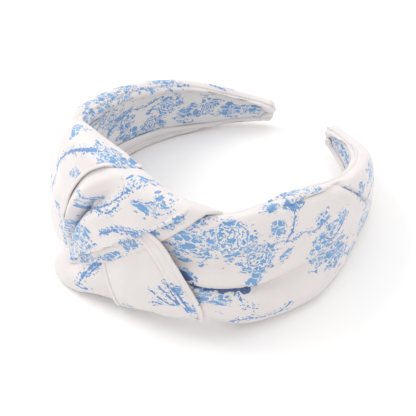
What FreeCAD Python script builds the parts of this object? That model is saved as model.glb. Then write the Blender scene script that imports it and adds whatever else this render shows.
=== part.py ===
import FreeCAD, Part
import math
import os

# Knotted headband: a springy plastic band covered in printed satin, with a turban knot at the crown.
# Units are millimetres.
#
# The band is laid out flat first. Its centre line is a C of tangent arcs in the XY plane, with the
# crown at the origin and the two arms running to +Y. A place on the band is (s, a, off):
#   s    arc length from the crown, positive on the right arm (+X), negative on the left arm
#   a    height across the band, from its middle, positive upwards
#   off  distance outwards from the middle of the plastic core
# The whole band is then tilted so that it lies on the knot and on both arms, and set down on Z = 0.

# ---- driving dimensions ----------------------------------------------------------------------
CENTRE_LINE = (         # half of the C, from the crown to a tip: (radius, angle in degrees) of each arc
    (110.0, 16.0),      # flattened crown
    (30.0, 46.0),       # shoulder
    (110.0, 28.0),      # side
    (74.0, 66.0),       # tip
)
CROWN_HEIGHT = 46.0     # covered band, across, at the crown
TIP_HEIGHT = 9.0        # covered band, across, at a tip
TAPER_START = 3.6       # the higher, the further the band keeps its crown height
TAPER_END = 1.5
FLARE = 9.0             # degrees that the band leans inwards at its upper edge
TILT = 7.0              # degrees that the resting band is pitched about X, knot end raised
FLOOR_DROP = 27.9       # from the middle of the crown down to the surface that it rests on
ORIGIN_BACK = 62.89     # from the middle of the crown back to the middle of the object's box

CORE_THICKNESS = 2.0
CORE_EASE = 0.5         # its eased edges
CORE_SHARE = 0.84       # core height over covered height
GLUE_THICKNESS = 0.2
LINING_THICKNESS = 0.6
PADDING_THICKNESS = 1.6
PADDING_INSET = 1.0     # the padding stops this far inside the core's edges
PADDING_EDGE = 0.6      # and is this thick there
PADDING_FLAT = 0.6      # share of its width that has the full thickness
COVER_THICKNESS = 1.4
COVER_BEND = 1.6        # the cover's turn over the band's edges
SKIN_GAP = 0.06         # between neighbouring layers
EDGE_ROLL = 6.5         # widest roll of cover fabric turned over onto the inner face
EDGE_ROLL_SHARE = 0.3   # of the covered height, where the band is narrower
LINING_TUCK = 1.5       # lining under each rolled edge
TIP_TAB = 1.2           # how far the folded fabric reaches past each end

FLEX_AT = 62.0          # where each arm flexes, along the centre line
FLEX_GAP = 0.7          # slot at each flex line
COVER_SPLIT = 8.0       # left and right covers meet this far left of the crown, under the knot
THREAD = 0.4            # sewing thread, squared
STITCH_PITCH = 7.5
STITCH_LENGTH = 2.0
STITCH_INSET = 0.8      # middle of a stitch, from the free side of the rolled edge
THREAD_GAP = 0.2        # stitches lie this far off the fabric
KNOT_ABOVE = (-48.0, 47.5)  # arc lengths over which the knot hides the band's upper edge
KNOT_BELOW = (-25.0, 42.0)  # and its lower edge
TACK_LENGTH = 2.4
TACK_HEIGHT = 15.0
TACK_ROWS = ((1, -40.0, 40.0, 6), (-1, -14.0, 34.0, 5))  # side, first and last place, how many
KNOT_THICKNESS = 1.3    # doubled fabric of the knot's strips
KNOT_INNER = -5.2       # inner face of the fabric turned over onto the inside at the knot
KNOT_TOP = 30.0         # height across the band that the knot reaches
KNOT_EDGE = 23.6        # clear of the cover's edge, where the knot's strips turn over it
STEP_ANGLE = 6.0        # most degrees of bend between two sections
STEP_LENGTH = 9.0       # most length between two sections

HALF_LENGTH = sum(radius * math.radians(angle) for radius, angle in CENTRE_LINE)
CORE_END = HALF_LENGTH - 3.0
LAYER_END = CORE_END - 4.0
COVER_END = HALF_LENGTH - 2.0

# ---- layers, as distances outwards from the middle of the core --------------------------------
CORE_IN = -CORE_THICKNESS / 2
CORE_OUT = CORE_THICKNESS / 2
GLUE_IN = CORE_IN - SKIN_GAP
LINING_OUT = GLUE_IN - GLUE_THICKNESS - SKIN_GAP
LINING_IN = LINING_OUT - LINING_THICKNESS
LIP_OUT = LINING_IN - SKIN_GAP
LIP_IN = LIP_OUT - COVER_THICKNESS
TAPE_OUT = CORE_OUT + SKIN_GAP
PADDING_IN = TAPE_OUT + GLUE_THICKNESS + SKIN_GAP
WALL_IN = PADDING_IN + PADDING_THICKNESS + SKIN_GAP
WALL_OUT = WALL_IN + COVER_THICKNESS


def centre_line(s):
    """Point, heading and side of the centre line at arc length s."""
    side = -1.0 if s < 0 else 1.0
    left = abs(s)
    x = y = heading = 0.0
    for number, (radius, angle) in enumerate(CENTRE_LINE):
        length = radius * math.radians(angle)
        last = number == len(CENTRE_LINE) - 1
        turn = (left if last else min(left, length)) / radius
        x += radius * (math.sin(heading + turn) - math.sin(heading))
        y += radius * (math.cos(heading) - math.cos(heading + turn))
        heading += turn
        left -= length
        if left <= 0:
            break
    return side * x, y, heading, side


def to_rest(point):
    """Tilt the flat layout about X, set it down on the surface and put its middle at the origin."""
    tilt = math.radians(TILT)
    y = point.y * math.cos(tilt) + point.z * math.sin(tilt)
    z = point.z * math.cos(tilt) - point.y * math.sin(tilt)
    return FreeCAD.Vector(point.x, y - ORIGIN_BACK, z + FLOOR_DROP)


def outward(s):
    """Horizontal outward normal of the centre line, before the tilt."""
    _, _, heading, side = centre_line(s)
    return FreeCAD.Vector(side * math.sin(heading), -math.cos(heading), 0)


def at(s, a, off):
    """Point of the resting band at arc length s, height a and distance off."""
    x, y, _, _ = centre_line(s)
    lean = math.radians(FLARE)
    reach = off * math.cos(lean) - a * math.sin(lean)
    rise = a * math.cos(lean) + off * math.sin(lean)
    flat = FreeCAD.Vector(x, y, 0) + outward(s) * reach + FreeCAD.Vector(0, 0, rise)
    return to_rest(flat)


def covered_height(s):
    """Height across the covered band."""
    share = max(0.0, 1 - (abs(s) / HALF_LENGTH) ** TAPER_START) ** TAPER_END
    return TIP_HEIGHT + (CROWN_HEIGHT - TIP_HEIGHT) * share


def core_height(s):
    return CORE_SHARE * covered_height(s)


def edge_roll(s):
    """Width of the cover's edge that lies on the inner face."""
    return min(EDGE_ROLL, EDGE_ROLL_SHARE * covered_height(s))


def lip_edge(s):
    """Height of the rolled edge's free side on the inner face."""
    return covered_height(s) / 2 - edge_roll(s)


def stations(start, end):
    """Arc lengths of the sections from start to end, closer together where the band bends more."""
    marks = [0.0]
    reach = 0.0
    for radius, angle in CENTRE_LINE:
        length = radius * math.radians(angle)
        steps = max(math.ceil(angle / STEP_ANGLE), math.ceil(length / STEP_LENGTH))
        marks += [reach + length * (n + 1) / steps for n in range(steps)]
        reach += length
    marks += [LAYER_END]
    marks = sorted(set([-mark for mark in marks] + marks))
    inside = [mark for mark in marks if start + 1.0 < mark < end - 1.0]
    return [start] + inside + [end]


def polygon(points):
    return Part.makePolygon(list(points) + [points[0]])


def sweep(start, end, section):
    """Solid through section(s), a list of (a, off) corners, from start to end along the band."""
    wires = [polygon([at(s, a, off) for a, off in section(s)]) for s in stations(start, end)]
    return Part.makeLoft(wires, True, True)


def faceted_solid(rings):
    """Closed solid of triangles through rings of points, for sections that don't lie in a plane.

    The first half of each ring is one face of the fold and the second half, read backwards, the other.
    """
    size = len(rings[0])
    triangles = []
    for ring, following in zip(rings, rings[1:]):
        for n in range(size):
            m = (n + 1) % size
            triangles += [(ring[n], ring[m], following[m]), (ring[n], following[m], following[n])]
    for ring in (rings[0], rings[-1]):
        for n in range(size // 2 - 1):
            corners = ring[n], ring[n + 1], ring[size - 2 - n], ring[size - 1 - n]
            triangles += [(corners[0], corners[1], corners[2]), (corners[0], corners[2], corners[3])]
    shell = Part.makeShell([Part.Face(polygon(corners)) for corners in triangles])
    shell.sewShape()
    solid = Part.makeSolid(shell)
    if solid.Volume < 0:
        solid.reverse()
    return solid


def lining_half(s):
    return lip_edge(s) + LINING_TUCK


def strip(low, high, half_height):
    """Section of a flat layer between two distances, half_height(s) to each side of the middle."""
    def section(s):
        half = half_height(s)
        return [(-half, low), (half, low), (half, high), (-half, high)]
    return section


# ---- layers of the band -----------------------------------------------------------------------
def core_section(s):
    """Plastic core with eased edges."""
    half = core_height(s) / 2
    flat = half - CORE_EASE
    return [(-half, CORE_IN + CORE_EASE), (-flat, CORE_IN), (flat, CORE_IN),
            (half, CORE_IN + CORE_EASE), (half, CORE_OUT - CORE_EASE), (flat, CORE_OUT),
            (-flat, CORE_OUT), (-half, CORE_OUT - CORE_EASE)]


def padding_section(s):
    """Wadding, crowned across the band."""
    half = core_height(s) / 2 - PADDING_INSET
    flat = half * PADDING_FLAT
    thin = PADDING_IN + PADDING_EDGE
    outer = PADDING_IN + PADDING_THICKNESS
    return [(-half, PADDING_IN), (half, PADDING_IN), (half, thin), (flat, outer),
            (-flat, outer), (-half, thin)]


def cover_section(s):
    """Cover: a wall outside, rounded over both edges and rolled onto the inner face."""
    half = covered_height(s) / 2
    bend = COVER_BEND
    pocket = core_height(s) / 2 + SKIN_GAP
    lip = lip_edge(s)
    return [(-lip, LIP_IN), (-half + bend, LIP_IN), (-half, LIP_IN + bend), (-half, WALL_OUT - bend),
            (-half + bend, WALL_OUT), (half - bend, WALL_OUT), (half, WALL_OUT - bend),
            (half, LIP_IN + bend), (half - bend, LIP_IN), (lip, LIP_IN),
            (lip, LIP_OUT), (pocket, LIP_OUT), (pocket, WALL_IN), (-pocket, WALL_IN),
            (-pocket, LIP_OUT), (-lip, LIP_OUT)]


def spans():
    """The three lengths between the flex lines: name, start and end, before the tips."""
    gap = FLEX_GAP / 2
    return (("left_arm", None, -FLEX_AT - gap), ("crown", -FLEX_AT + gap, FLEX_AT - gap),
            ("right_arm", FLEX_AT + gap, None))


def layer(section, tip_at):
    """One layer of the band in its three lengths."""
    pieces = {}
    for name, start, end in spans():
        start = -tip_at if start is None else start
        end = tip_at if end is None else end
        pieces[name] = sweep(start, end, section)
    return pieces


def band_layers():
    """Core, glue films, lining and padding, each in three lengths."""
    layers = {
        "band_core": layer(core_section, CORE_END),
        "lining_glue": layer(strip(LINING_OUT + SKIN_GAP, GLUE_IN, lip_edge), LAYER_END),
        "lining": layer(strip(LINING_IN, LINING_OUT, lining_half), LAYER_END),
        "cover_tape": layer(strip(TAPE_OUT, TAPE_OUT + GLUE_THICKNESS, lip_edge), LAYER_END),
        "padding": layer(padding_section, LAYER_END),
    }
    nodes = {}
    for kind, pieces in layers.items():
        for name, solid in pieces.items():
            nodes[kind + "_" + name] = solid
    return nodes


def covers():
    """Left and right covers, each in a crown length and an arm length."""
    gap = FLEX_GAP / 2
    seam = SKIN_GAP / 2
    return {
        "left_cover_arm": sweep(-COVER_END, -FLEX_AT - gap, cover_section),
        "left_cover_crown": sweep(-FLEX_AT + gap, -COVER_SPLIT - seam, cover_section),
        "right_cover_crown": sweep(-COVER_SPLIT + seam, FLEX_AT - gap, cover_section),
        "right_cover_arm": sweep(FLEX_AT + gap, COVER_END, cover_section),
    }


def tip_tabs():
    """Fabric folded shut over each end of the band."""
    tabs = {}
    for name, side in (("left_tip_tab", -1), ("right_tip_tab", 1)):
        wires = []
        for reach, scale in ((COVER_END + SKIN_GAP, 1.0), (HALF_LENGTH, 0.85), (HALF_LENGTH + TIP_TAB, 0.5)):
            half = scale * TIP_HEIGHT / 2
            low = scale * LIP_IN
            high = scale * WALL_OUT
            corners = [(-half, low), (half, low), (half, high), (-half, high)]
            wires.append(polygon([at(side * reach, a, off) for a, off in corners]))
        tabs[name] = Part.makeLoft(wires, True, True)
    return tabs


# ---- stitches ---------------------------------------------------------------------------------
def thread_bar(s, a, length, across, top):
    """One stitch: a bar of thread lying on the inner face, across or along the band."""
    half = THREAD / 2
    run = length / 2
    along, over = (half, run) if across else (run, half)
    rings = []
    for place in (s - along, s + along):
        corners = ((-over, top), (over, top), (over, top - THREAD), (-over, top - THREAD))
        rings.append([at(place, a + rise, off) for rise, off in corners])
    return faceted_solid(rings)


def lining_stitches():
    """Slip stitches that close the rolled edges over the lining, where the knot doesn't cover them."""
    nodes = {}
    for name, start, end in spans():
        start = -COVER_END if start is None else start
        end = COVER_END if end is None else end
        count = int((end - start) / STITCH_PITCH) - 1
        bars = []
        for n in range(count):
            s = start + (end - start) * (n + 1) / (count + 1)
            for edge, (first, last) in ((1, KNOT_ABOVE), (-1, KNOT_BELOW)):
                if first < s < last:
                    continue
                a = edge * (lip_edge(s) + STITCH_INSET)
                bars.append(thread_bar(s, a, STITCH_LENGTH, True, LIP_IN - THREAD_GAP))
        nodes["lining_stitches_" + name] = Part.makeCompound(bars)
    return nodes


def knot_stitches():
    """Tacks that hold the knot's turned ends, on the inner face: a row above and a row below."""
    bars = []
    for edge, first, last, count in TACK_ROWS:
        for n in range(count):
            s = first + (last - first) * n / (count - 1)
            bars.append(thread_bar(s, edge * TACK_HEIGHT, TACK_LENGTH, False, KNOT_INNER - THREAD_GAP))
    return Part.makeCompound(bars)


# ---- knot -------------------------------------------------------------------------------------
def fold(sections, ribs=8):
    """Thick fold of fabric lofted through sections.

    A section is the outer face's two (s, a, off) corners, the inner face's two, and the rise (a, off)
    of the outer face's middle above the straight line between its corners.
    """
    rings = []
    for outer_1, outer_2, inner_1, inner_2, rise in sections:
        outer = []
        inner = []
        for n in range(ribs + 1):
            t = n / ribs
            crown = math.sin(math.pi * t)
            s, a, off = [p + (q - p) * t for p, q in zip(outer_1, outer_2)]
            outer.append(at(s, a + crown * rise[0], off + crown * rise[1]))
            s, a, off = [p + (q - p) * t for p, q in zip(inner_1, inner_2)]
            inner.append(at(s, a, off))
        rings.append(outer + inner[::-1])
    return faceted_solid(rings)


def turn_over(rows):
    """Fold that comes up the outer face, goes over the band's upper edge and down the inner face.

    rows gives the outer face's (first corner, second corner, thickness) from the bottom up.
    """
    sections = []
    for (s_1, a_1, off_1), (s_2, a_2, off_2), thick in rows:
        sections.append(((s_1, a_1, off_1), (s_2, a_2, off_2),
                         (s_1, a_1, off_1 - thick), (s_2, a_2, off_2 - thick), (0, 1.0)))
    s_1 = rows[-1][0][0]
    s_2 = rows[-1][1][0]
    rim = KNOT_EDGE + KNOT_THICKNESS
    inside = KNOT_INNER + KNOT_THICKNESS
    sections += [
        ((s_1, KNOT_TOP - 1, 4.5), (s_2, KNOT_TOP - 3, 4.5), (s_1, KNOT_EDGE + 0.6, 4.0),
         (s_2, KNOT_EDGE + 0.4, 4.0), (1.5, 0.5)),
        ((s_1, KNOT_TOP, 0.5), (s_2, KNOT_TOP - 2, 0.5), (s_1, KNOT_EDGE + 0.6, 0.5),
         (s_2, KNOT_EDGE + 0.4, 0.5), (1.5, 0)),
        ((s_1, rim + 1.5, KNOT_INNER + 0.6), (s_2, rim, KNOT_INNER + 0.6), (s_1, KNOT_EDGE, inside),
         (s_2, KNOT_EDGE, inside), (0.5, 0)),
        ((s_1, 13.0, KNOT_INNER), (s_2, 13.0, KNOT_INNER), (s_1, 13.0, inside),
         (s_2, 13.0, inside), (0, 0)),
    ]
    return fold(sections)


def knot():
    """The knot: five folds of the two fabric strips, one over the other, and their tacks."""
    wrap = turn_over([
        ((-14.0, -15.0, 9.0), (-9.0, -17.5, 9.0), KNOT_THICKNESS),
        ((-14.5, -4.0, 9.6), (4.0, -2.5, 9.4), KNOT_THICKNESS),
        ((-11.5, 8.0, 9.8), (22.0, 9.0, 9.2), KNOT_THICKNESS),
        ((-6.0, 20.0, 9.6), (36.0, 20.0, 8.0), KNOT_THICKNESS),
        ((-0.5, 23.5, 8.6), (45.0, 23.0, 6.6), KNOT_THICKNESS),
    ])
    left_turn = turn_over([
        ((-40.0, -16.0, 5.9), (-18.0, -8.0, 6.6), 1.0),
        ((-44.0, 0.0, 6.2), (-16.5, 0.0, 7.4), 1.2),
        ((-46.0, 14.0, 6.4), (-11.5, 14.0, 7.8), KNOT_THICKNESS),
        ((-46.0, 23.0, 6.4), (-2.0, 23.5, 7.6), KNOT_THICKNESS),
    ])
    panel = fold([
        ((6.0, 6.0, 7.3), (28.0, 12.0, 7.2), (6.0, 6.0, 6.2), (28.0, 12.0, 6.1), (0, 0)),
        ((3.8, -7.0, 7.2), (33.5, -1.0, 7.2), (3.8, -7.0, 6.0), (33.5, -1.0, 6.0), (0, 0.4)),
        ((8.2, -15.0, 7.2), (37.0, -10.0, 7.0), (8.2, -15.0, 5.8), (37.0, -10.0, 5.6), (0, 0.8)),
        ((11.5, -24.0, 6.4), (39.0, -20.0, 6.0), (11.5, -24.0, 4.9), (39.0, -20.0, 4.9), (0, 0.6)),
        ((12.0, -26.0, 3.5), (39.5, -25.4, 3.5), (12.0, -24.6, 3.5), (39.5, -24.0, 3.5), (-0.5, 0)),
        ((12.0, -25.2, -4.6), (39.5, -25.0, -4.6), (12.0, -23.8, -3.7), (39.5, -23.6, -3.7), (0, 0)),
        ((12.0, -14.0, KNOT_INNER), (39.5, -14.0, KNOT_INNER), (12.0, -14.0, KNOT_INNER + 1.3),
         (39.5, -14.0, KNOT_INNER + 1.3), (0, 0)),
    ])
    puff = fold([
        ((-15.5, -17.5, 6.6), (2.8, -9.0, 6.6), (-15.5, -17.5, 5.0), (2.8, -9.0, 5.0), (0, 0)),
        ((-22.0, -22.0, 8.4), (6.8, -16.0, 7.2), (-22.0, -22.0, 5.0), (6.8, -16.0, 5.0), (0, 0.5)),
        ((-22.5, -26.0, 9.4), (10.0, -24.4, 6.6), (-22.5, -24.8, 4.6), (10.0, -24.0, 4.6), (0, 0.5)),
        ((-20.0, -32.0, 6.0), (10.0, -28.0, 5.0), (-20.0, -25.0, 0.0), (10.0, -24.4, 0.0), (-0.5, 0)),
        ((-19.0, -27.0, -4.6), (10.0, -26.0, -4.6), (-19.0, -24.0, -3.7), (10.0, -24.0, -3.7), (0, 0)),
        ((-19.0, -14.0, KNOT_INNER), (10.0, -14.0, KNOT_INNER), (-19.0, -14.0, KNOT_INNER + 1.3),
         (10.0, -14.0, KNOT_INNER + 1.3), (0, 0)),
    ])
    filler = fold([
        ((-8.0, -6.0, 5.9), (30.0, -8.0, 5.3), (-8.0, -6.0, 4.7), (30.0, -8.0, 4.7), (0, 0)),
        ((-9.0, 6.0, 6.0), (34.0, 4.0, 5.8), (-9.0, 6.0, 4.7), (34.0, 4.0, 4.7), (0, 0)),
        ((-2.0, 19.0, 6.0), (36.0, 19.0, 5.8), (-2.0, 19.0, 4.7), (36.0, 19.0, 4.7), (0, 0)),
    ])
    return {"knot_wrap": wrap, "knot_left_turn": left_turn, "knot_under_panel": panel,
            "knot_left_puff": puff, "knot_filler": filler, "knot_tack_stitches": knot_stitches()}


# ---- whole object -----------------------------------------------------------------------------
def above_surface(shape):
    """Trim the little that soft fabric would press flat against the surface it lies on."""
    box = shape.BoundBox
    if box.ZMin >= 0:
        return shape
    margin = 10.0
    slab = Part.makeBox(box.XLength + 2 * margin, box.YLength + 2 * margin, box.ZMax + margin,
                        FreeCAD.Vector(box.XMin - margin, box.YMin - margin, 0))
    return shape.common(slab)


def main():
    nodes = {}
    nodes.update(band_layers())
    nodes.update(covers())
    nodes.update(tip_tabs())
    nodes.update(lining_stitches())
    nodes.update(knot())
    os.makedirs("parts", exist_ok=True)
    for name, shape in nodes.items():
        shape = above_surface(shape)
        volume = sum(solid.Volume for solid in shape.Solids)
        print("%-26s solids %3d valid %s volume %8.1f mm3"
              % (name, len(shape.Solids), shape.isValid(), volume))
        shape.exportStep("parts/%s.step" % name)


main()
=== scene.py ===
import math

import bpy
import numpy as np
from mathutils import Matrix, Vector, noise


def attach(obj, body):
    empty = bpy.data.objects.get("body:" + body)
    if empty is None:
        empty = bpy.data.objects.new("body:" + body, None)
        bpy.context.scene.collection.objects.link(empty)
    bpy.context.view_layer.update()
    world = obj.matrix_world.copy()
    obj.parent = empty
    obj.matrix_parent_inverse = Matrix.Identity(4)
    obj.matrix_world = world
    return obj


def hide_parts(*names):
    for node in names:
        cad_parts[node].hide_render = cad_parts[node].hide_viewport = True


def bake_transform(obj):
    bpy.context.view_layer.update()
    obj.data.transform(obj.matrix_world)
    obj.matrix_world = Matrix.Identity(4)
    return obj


# Knotted headband. Places on the band are (s, a, off) in millimetres, as in the CAD model: s along the
# centre line from the crown (right arm positive), a across it (up), off outwards from the core.

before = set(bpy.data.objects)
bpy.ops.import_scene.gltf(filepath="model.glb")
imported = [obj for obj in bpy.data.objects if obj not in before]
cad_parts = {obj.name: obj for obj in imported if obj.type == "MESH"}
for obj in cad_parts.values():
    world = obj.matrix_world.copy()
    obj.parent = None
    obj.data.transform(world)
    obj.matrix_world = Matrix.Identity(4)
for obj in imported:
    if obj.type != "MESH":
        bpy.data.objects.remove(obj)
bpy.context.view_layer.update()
MM = 0.001

# ---- the band's own dimensions, the same as the CAD model's -----------------------------------
CENTRE_LINE = ((110.0, 16.0), (30.0, 46.0), (110.0, 28.0), (74.0, 66.0))   # radius, degrees
HALF_LENGTH = sum(radius * math.radians(angle) for radius, angle in CENTRE_LINE)
CROWN_HEIGHT = 46.0
TIP_HEIGHT = 9.0
TAPER_START = 3.6
TAPER_END = 1.5
FLARE = math.radians(9.0)
TILT = math.radians(7.0)
FLOOR_DROP = 27.9
ORIGIN_BACK = 62.89
SIDE_NAMES = {-1: "left", 1: "right"}
TIP_AT = HALF_LENGTH - 2.0
FABRIC = 0.45         # thickness of the satin
LINING_FABRIC = 0.35  # thickness of the lining
RESTING = 0.6         # least height of the satin's outer face above the surface


def centre_line(s):
    """x, y, heading and side of the centre line at arc lengths s."""
    side = np.where(s < 0, -1.0, 1.0)
    left = np.abs(s)
    x = np.zeros_like(left)
    y = np.zeros_like(left)
    heading = np.zeros_like(left)
    for number, (radius, angle) in enumerate(CENTRE_LINE):
        last = number == len(CENTRE_LINE) - 1
        run = left if last else np.minimum(left, radius * math.radians(angle))
        x = x + radius * (np.sin(heading + run / radius) - np.sin(heading))
        y = y + radius * (np.cos(heading) - np.cos(heading + run / radius))
        heading = heading + run / radius
        left = left - run
    return side * x, y, heading, side


def at(place):
    """Points of the resting band, in metres, at an array of places (s, a, off)."""
    s, a, off = np.moveaxis(np.asarray(place, float), -1, 0)
    x, y, heading, side = centre_line(s)
    reach = off * math.cos(FLARE) - a * math.sin(FLARE)
    rise = a * math.cos(FLARE) + off * math.sin(FLARE)
    x = x + side * np.sin(heading) * reach
    y = y - np.cos(heading) * reach
    flat_y = y * math.cos(TILT) + rise * math.sin(TILT)
    flat_z = rise * math.cos(TILT) - y * math.sin(TILT)
    return np.stack([x, flat_y - ORIGIN_BACK, flat_z + FLOOR_DROP], -1) * MM


def half_height(s):
    """Half of the covered band's height at arc lengths s."""
    share = np.clip(1 - (np.abs(s) / HALF_LENGTH) ** TAPER_START, 0, 1) ** TAPER_END
    return (TIP_HEIGHT + (CROWN_HEIGHT - TIP_HEIGHT) * share) / 2


# ---- curves and grids -------------------------------------------------------------------------
def spline(knots, values, where):
    """Smooth curve through values at knots, read at where."""
    knots = np.asarray(knots, float)
    values = np.asarray(values, float)
    where = np.asarray(where, float)
    slopes = np.gradient(values, knots, axis=0)
    n = np.clip(np.searchsorted(knots, where, side="right") - 1, 0, len(knots) - 2)
    step = knots[n + 1] - knots[n]
    t = np.clip((where - knots[n]) / step, 0, 1)
    shape = t.shape + (1,) * (values.ndim - 1)
    t = t.reshape(shape)
    step = step.reshape(shape)
    return ((2 * t**3 - 3 * t**2 + 1) * values[n] + (t**3 - 2 * t**2 + t) * step * slopes[n]
            + (3 * t**2 - 2 * t**3) * values[n + 1] + (t**3 - t**2) * step * slopes[n + 1])


def bump(x, middle, width):
    """Smooth hump of height 1."""
    return np.exp(-((x - middle) / width) ** 2)


def ease(x, low, high):
    """0 below low, 1 above high, smooth between."""
    t = np.clip((x - low) / (high - low), 0, 1)
    return t * t * (3 - 2 * t)


def grid_normals(points):
    """Unit normals of a grid of points, rows by columns."""
    along = np.gradient(points, axis=0)
    across = np.gradient(points, axis=1)
    normal = np.cross(across, along)
    return normal / np.maximum(np.linalg.norm(normal, axis=-1, keepdims=True), 1e-12)


def crumple(points, cloth, height, size, stretch=(1.0, 1.0), seed=0.0):
    """Moves a grid along its normals by smooth noise: soft wrinkles of the given height and size in mm."""
    scale = 1.0 / np.array([size * stretch[0], size * stretch[1]])
    flat = (cloth * scale).reshape(-1, 2)
    rise = np.array([noise.noise(Vector((u, v, seed))) for u, v in flat]).reshape(cloth.shape[:2])
    return points + grid_normals(points) * (rise * height * MM)[..., None]


def add_object(name, data):
    """New object in the scene."""
    made = bpy.data.objects.new(name, data)
    bpy.context.scene.collection.objects.link(made)
    return made


def corner_points(mesh):
    """The vertex at each face corner of a mesh."""
    corners = np.zeros(len(mesh.loops), int)
    mesh.loops.foreach_get("vertex_index", corners)
    return corners


def grid_mesh(name, points, cloth, flip=False):
    """Mesh of quads over a grid of points in metres, with the cloth's own coordinates in mm as UV.

    What would sink into the surface that the band lies on is pressed flat on it.
    """
    points = np.array(points)
    points[..., 2] = np.maximum(points[..., 2], RESTING * MM)
    rows, columns = points.shape[:2]
    index = np.arange(rows * columns).reshape(rows, columns)
    quads = np.stack([index[:-1, :-1], index[:-1, 1:], index[1:, 1:], index[1:, :-1]], -1).reshape(-1, 4)
    if flip:
        quads = quads[:, ::-1]
    mesh = bpy.data.meshes.new(name)
    mesh.from_pydata(points.reshape(-1, 3).tolist(), [], quads.tolist())
    layer = mesh.uv_layers.new(name="cloth")
    layer.data.foreach_set("uv", cloth.reshape(-1, 2)[corner_points(mesh)].ravel())
    mesh.shade_smooth()
    return add_object(name, mesh)


def apply_modifiers(piece):
    """Makes the modifiers' result the mesh itself."""
    bpy.context.view_layer.update()
    shaped = piece.evaluated_get(bpy.context.evaluated_depsgraph_get())
    mesh = bpy.data.meshes.new_from_object(shaped)
    piece.modifiers.clear()
    piece.data = mesh
    mesh.shade_smooth()


def thicken(piece, thickness):
    """Gives a sheet its thickness, on its inner side."""
    solid = piece.modifiers.new("thickness", "SOLIDIFY")
    solid.thickness = thickness * MM
    solid.offset = -1
    solid.use_even_offset = False
    apply_modifiers(piece)


# ---- print: where the motifs lie on each strip of cloth ----------------------------------------
FAR = 1000.0
NO_TWIG = 20.0         # mm, stored where no twig is near
NO_ROSE = 9.0          # the same for roses, in radii


def distance_to_twig(cloth, line):
    """Distance in mm from each cloth point to a curved twig through the line's points."""
    knots = np.arange(len(line))
    path = spline(knots, line, np.linspace(0, len(line) - 1, 12 * len(line)))
    best = np.full(cloth.shape[:-1], FAR)
    for start, end in zip(path, path[1:]):
        edge = end - start
        t = np.clip(((cloth - start) @ edge) / max(edge @ edge, 1e-9), 0, 1)
        best = np.minimum(best, np.linalg.norm(cloth - start - t[..., None] * edge, axis=-1))
    return best


def nearness(cloth, ellipses):
    """1 in the middle of the nearest ellipse, 0.5 on its edge.

    Each is (u, v, half length, half width, degrees).
    """
    best = np.zeros(len(cloth))
    for u, v, length, width, turn in ellipses:
        turn = math.radians(turn)
        across = cloth - (u, v)
        x = (across[:, 0] * math.cos(turn) + across[:, 1] * math.sin(turn)) / length
        y = (across[:, 1] * math.cos(turn) - across[:, 0] * math.sin(turn)) / width
        best = np.maximum(best, 1 - 0.5 * np.sqrt(x * x + y * y))
    return best


def paint(piece, blooms=(), twigs=(), roses=(), painted_shade_patches=()):
    """Stores how near each point lies to the motifs: bloom and solid 0 to 1, twig in mm, rose as a share of
    its radius. solid is the painted shadow in the right cover's slit.

    blooms and the patches of painted shadow are ellipses, twigs lists of (u, v), roses (u, v, radius).
    """
    mesh = piece.data
    uv = np.zeros(len(mesh.loops) * 2)
    mesh.uv_layers["cloth"].data.foreach_get("uv", uv)
    cloth = np.zeros((len(mesh.vertices), 2))
    cloth[corner_points(mesh)] = uv.reshape(-1, 2)
    twig = np.full(len(cloth), FAR)
    for line in twigs:
        twig = np.minimum(twig, distance_to_twig(cloth, np.array(line, float)))
    rose = np.full(len(cloth), NO_ROSE)
    for u, v, radius in roses:
        rose = np.minimum(rose, np.linalg.norm(cloth - (u, v), axis=1) / radius)
    # solid holds the patches of painted shadow in the right cover's slit
    for name, value in (("bloom", nearness(cloth, blooms)), ("solid", nearness(cloth, painted_shade_patches)),
                        ("twig", np.minimum(twig, NO_TWIG)), ("rose", rose)):
        layer = mesh.attributes.new(name, "FLOAT", "POINT")
        layer.data.foreach_set("value", np.asarray(value, np.float32))


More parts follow.
